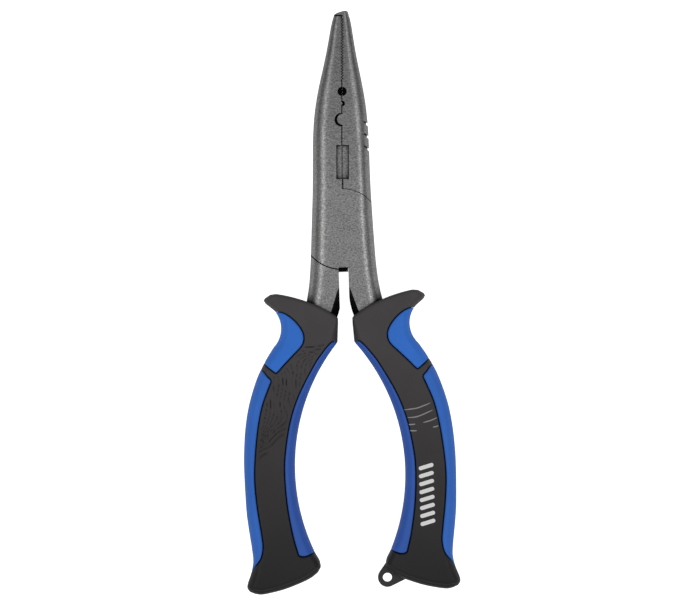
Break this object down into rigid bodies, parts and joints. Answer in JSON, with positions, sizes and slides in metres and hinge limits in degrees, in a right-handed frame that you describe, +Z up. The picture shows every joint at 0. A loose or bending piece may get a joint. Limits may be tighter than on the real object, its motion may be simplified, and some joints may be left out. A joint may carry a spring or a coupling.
{
  "type": "fishing pliers",
  "caption": "Long-nose fishing pliers with toothed jaws, a split-ring hook, crimp notches, side cutters, black and blue soft grips and a lanyard eye.",
  "frame": {"origin": "on the surface that the tool lies on, under the middle of its outline", "axes": "+Y from the butts to the jaw tips, +X to the handle with the lanyard eye, +Z up through the thickness"},
  "size_m": [0.0751, 0.2023, 0.0145],
  "materials": {
    "forged_steel": "fine blasted grey steel",
    "rivet_steel": "ground flush grey steel",
    "core_plastic": "hard black plastic, satin",
    "black_grip": "matte black moulded grip",
    "blue_pad": "matte blue soft grip"
  },
  "bodies": {
    "hooked_half": {"hooked_jaw_half": "forged_steel", "left_grip_core": "core_plastic", "left_grip_body": "black_grip", "left_thumb_pad": "blue_pad", "left_outer_strip": "blue_pad", "left_inner_strip": "blue_pad"},
    "plain_half": {"plain_jaw_half": "forged_steel", "pivot_rivet": "rivet_steel", "right_grip_core": "core_plastic", "right_grip_body": "black_grip", "right_thumb_pad": "blue_pad", "right_outer_strip": "blue_pad", "right_inner_strip": "blue_pad"}
  },
  "joints": [
    {"name": "jaw_pivot", "type": "hinge", "parent": "hooked_half", "child": "plain_half", "pos_m": [-0.0036, 0.0256, 0.00725], "axis": [0, 0, 1], "range_deg": [0, 40]}
  ]
}
